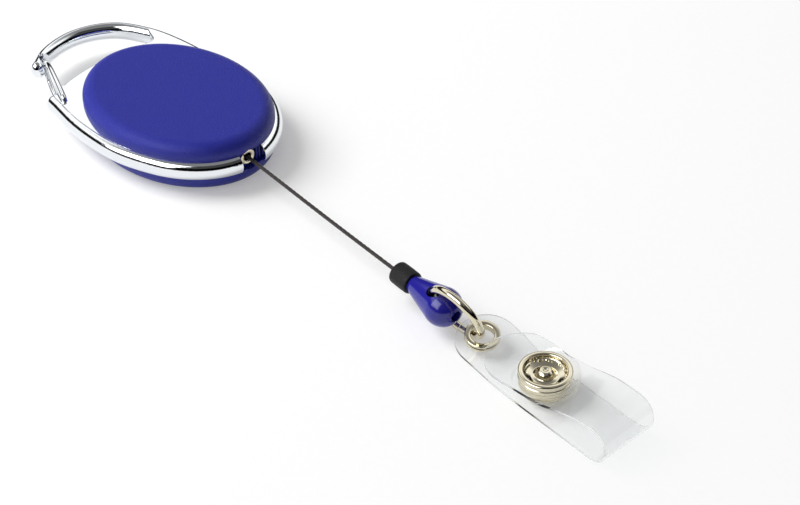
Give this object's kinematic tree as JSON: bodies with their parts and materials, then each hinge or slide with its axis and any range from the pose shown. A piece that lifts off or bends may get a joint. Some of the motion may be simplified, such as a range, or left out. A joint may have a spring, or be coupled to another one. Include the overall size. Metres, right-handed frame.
{
  "type": "retractable badge reel",
  "caption": "Oval retractable badge reel with a chromed carabiner hook and gate, a pull cord with bumper and bead, and a clear snap strap on a jump ring.",
  "frame": {"origin": "on the spool's axis, at the flat back face that the reel lies on", "axes": "+X from the spool to the mouth that the cord leaves by, +Y across the reel away from the gate's pivot, +Z out of the front cover"},
  "size_m": [0.1773, 0.0417, 0.0132],
  "materials": {
    "cover_plastic": "fine-grained satin moulding, indigo blue",
    "frame_chrome": "mirror-bright chrome plating",
    "nickel": "bright warm nickel plating",
    "steel": "plain rolled and turned steel",
    "spool_plastic": "natural acetal",
    "cord_braid": "tight black nylon braid",
    "bumper_rubber": "matte black rubber",
    "bead_plastic": "glossy moulding, indigo blue",
    "clear_vinyl": "clear flexible vinyl sheet"
  },
  "bodies": {
    "case": {"back_cover": "cover_plastic", "front_cover": "cover_plastic", "chrome_frame": "frame_chrome", "exit_guide": "cover_plastic", "cord_eyelet": "nickel", "spool_axle": "steel", "cord_inner_run": "cord_braid"},
    "gate": {"gate_wire": "frame_chrome"},
    "spool": {"spool": "spool_plastic", "spring_cover": "spool_plastic", "cord_wound": "cord_braid", "power_spring": "steel"},
    "lead": {"cord_lead": "cord_braid"},
    "clip": {"cord_run": "cord_braid", "bumper": "bumper_rubber", "bead": "bead_plastic", "cord_knot": "cord_braid"},
    "ring": {"jump_ring": "nickel"},
    "strap": {"strap_grommet": "nickel", "strap_leg": "clear_vinyl", "stud_post": "nickel", "snap_stud": "nickel"},
    "flap": {"strap_flap": "clear_vinyl", "snap_socket": "nickel", "socket_spring": "steel", "snap_cap": "nickel"}
  },
  "joints": [
    {"name": "gate_hinge", "type": "hinge", "parent": "case", "child": "gate", "pos_m": [-0.0188, -0.0172, 0.0057], "axis": [0, 0, -1], "range_deg": [0, 28], "stiffness_Nm_per_rad": 0.02, "springref_deg": -8.59},
    {"name": "spool_spin", "type": "hinge", "parent": "case", "child": "spool", "pos_m": [0, 0, 0.0057], "axis": [0, 0, 1], "range_deg": [-3460, 246], "deforming": ["power_spring"]},
    {"name": "cord_swing", "type": "hinge", "parent": "case", "child": "lead", "pos_m": [0.0238, 0, 0.0057], "axis": [0, 0, 1], "range_deg": [-7, 16]},
    {"name": "cord_pull", "type": "slide", "parent": "lead", "child": "clip", "axis": [0.9969, -0.0785, 0], "range_m": [-0.0493, 0.7], "deforming": ["cord_run"]},
    {"name": "ring_swing", "type": "hinge", "parent": "clip", "child": "ring", "pos_m": [0.08501, -0.00482, 0.0057], "axis": [-0.0045, -0.2588, 0.9659], "range_deg": [-8, 8]},
    {"name": "strap_swing", "type": "hinge", "parent": "ring", "child": "strap", "pos_m": [0.09101, -0.00517, 0.00665], "axis": [-0.0169, -0.9658, -0.2588], "range_deg": [0, 70]},
    {"name": "flap_open", "type": "hinge", "parent": "strap", "child": "flap", "pos_m": [0.13307, -0.00537, 0.00435], "axis": [0.0523, 0.9986, 0], "range_deg": [0, 95]}
  ],
  "couplings": [
    {"joint": "spool_spin", "follows": "cord_pull", "rad_per_m": -86.04}
  ]
}
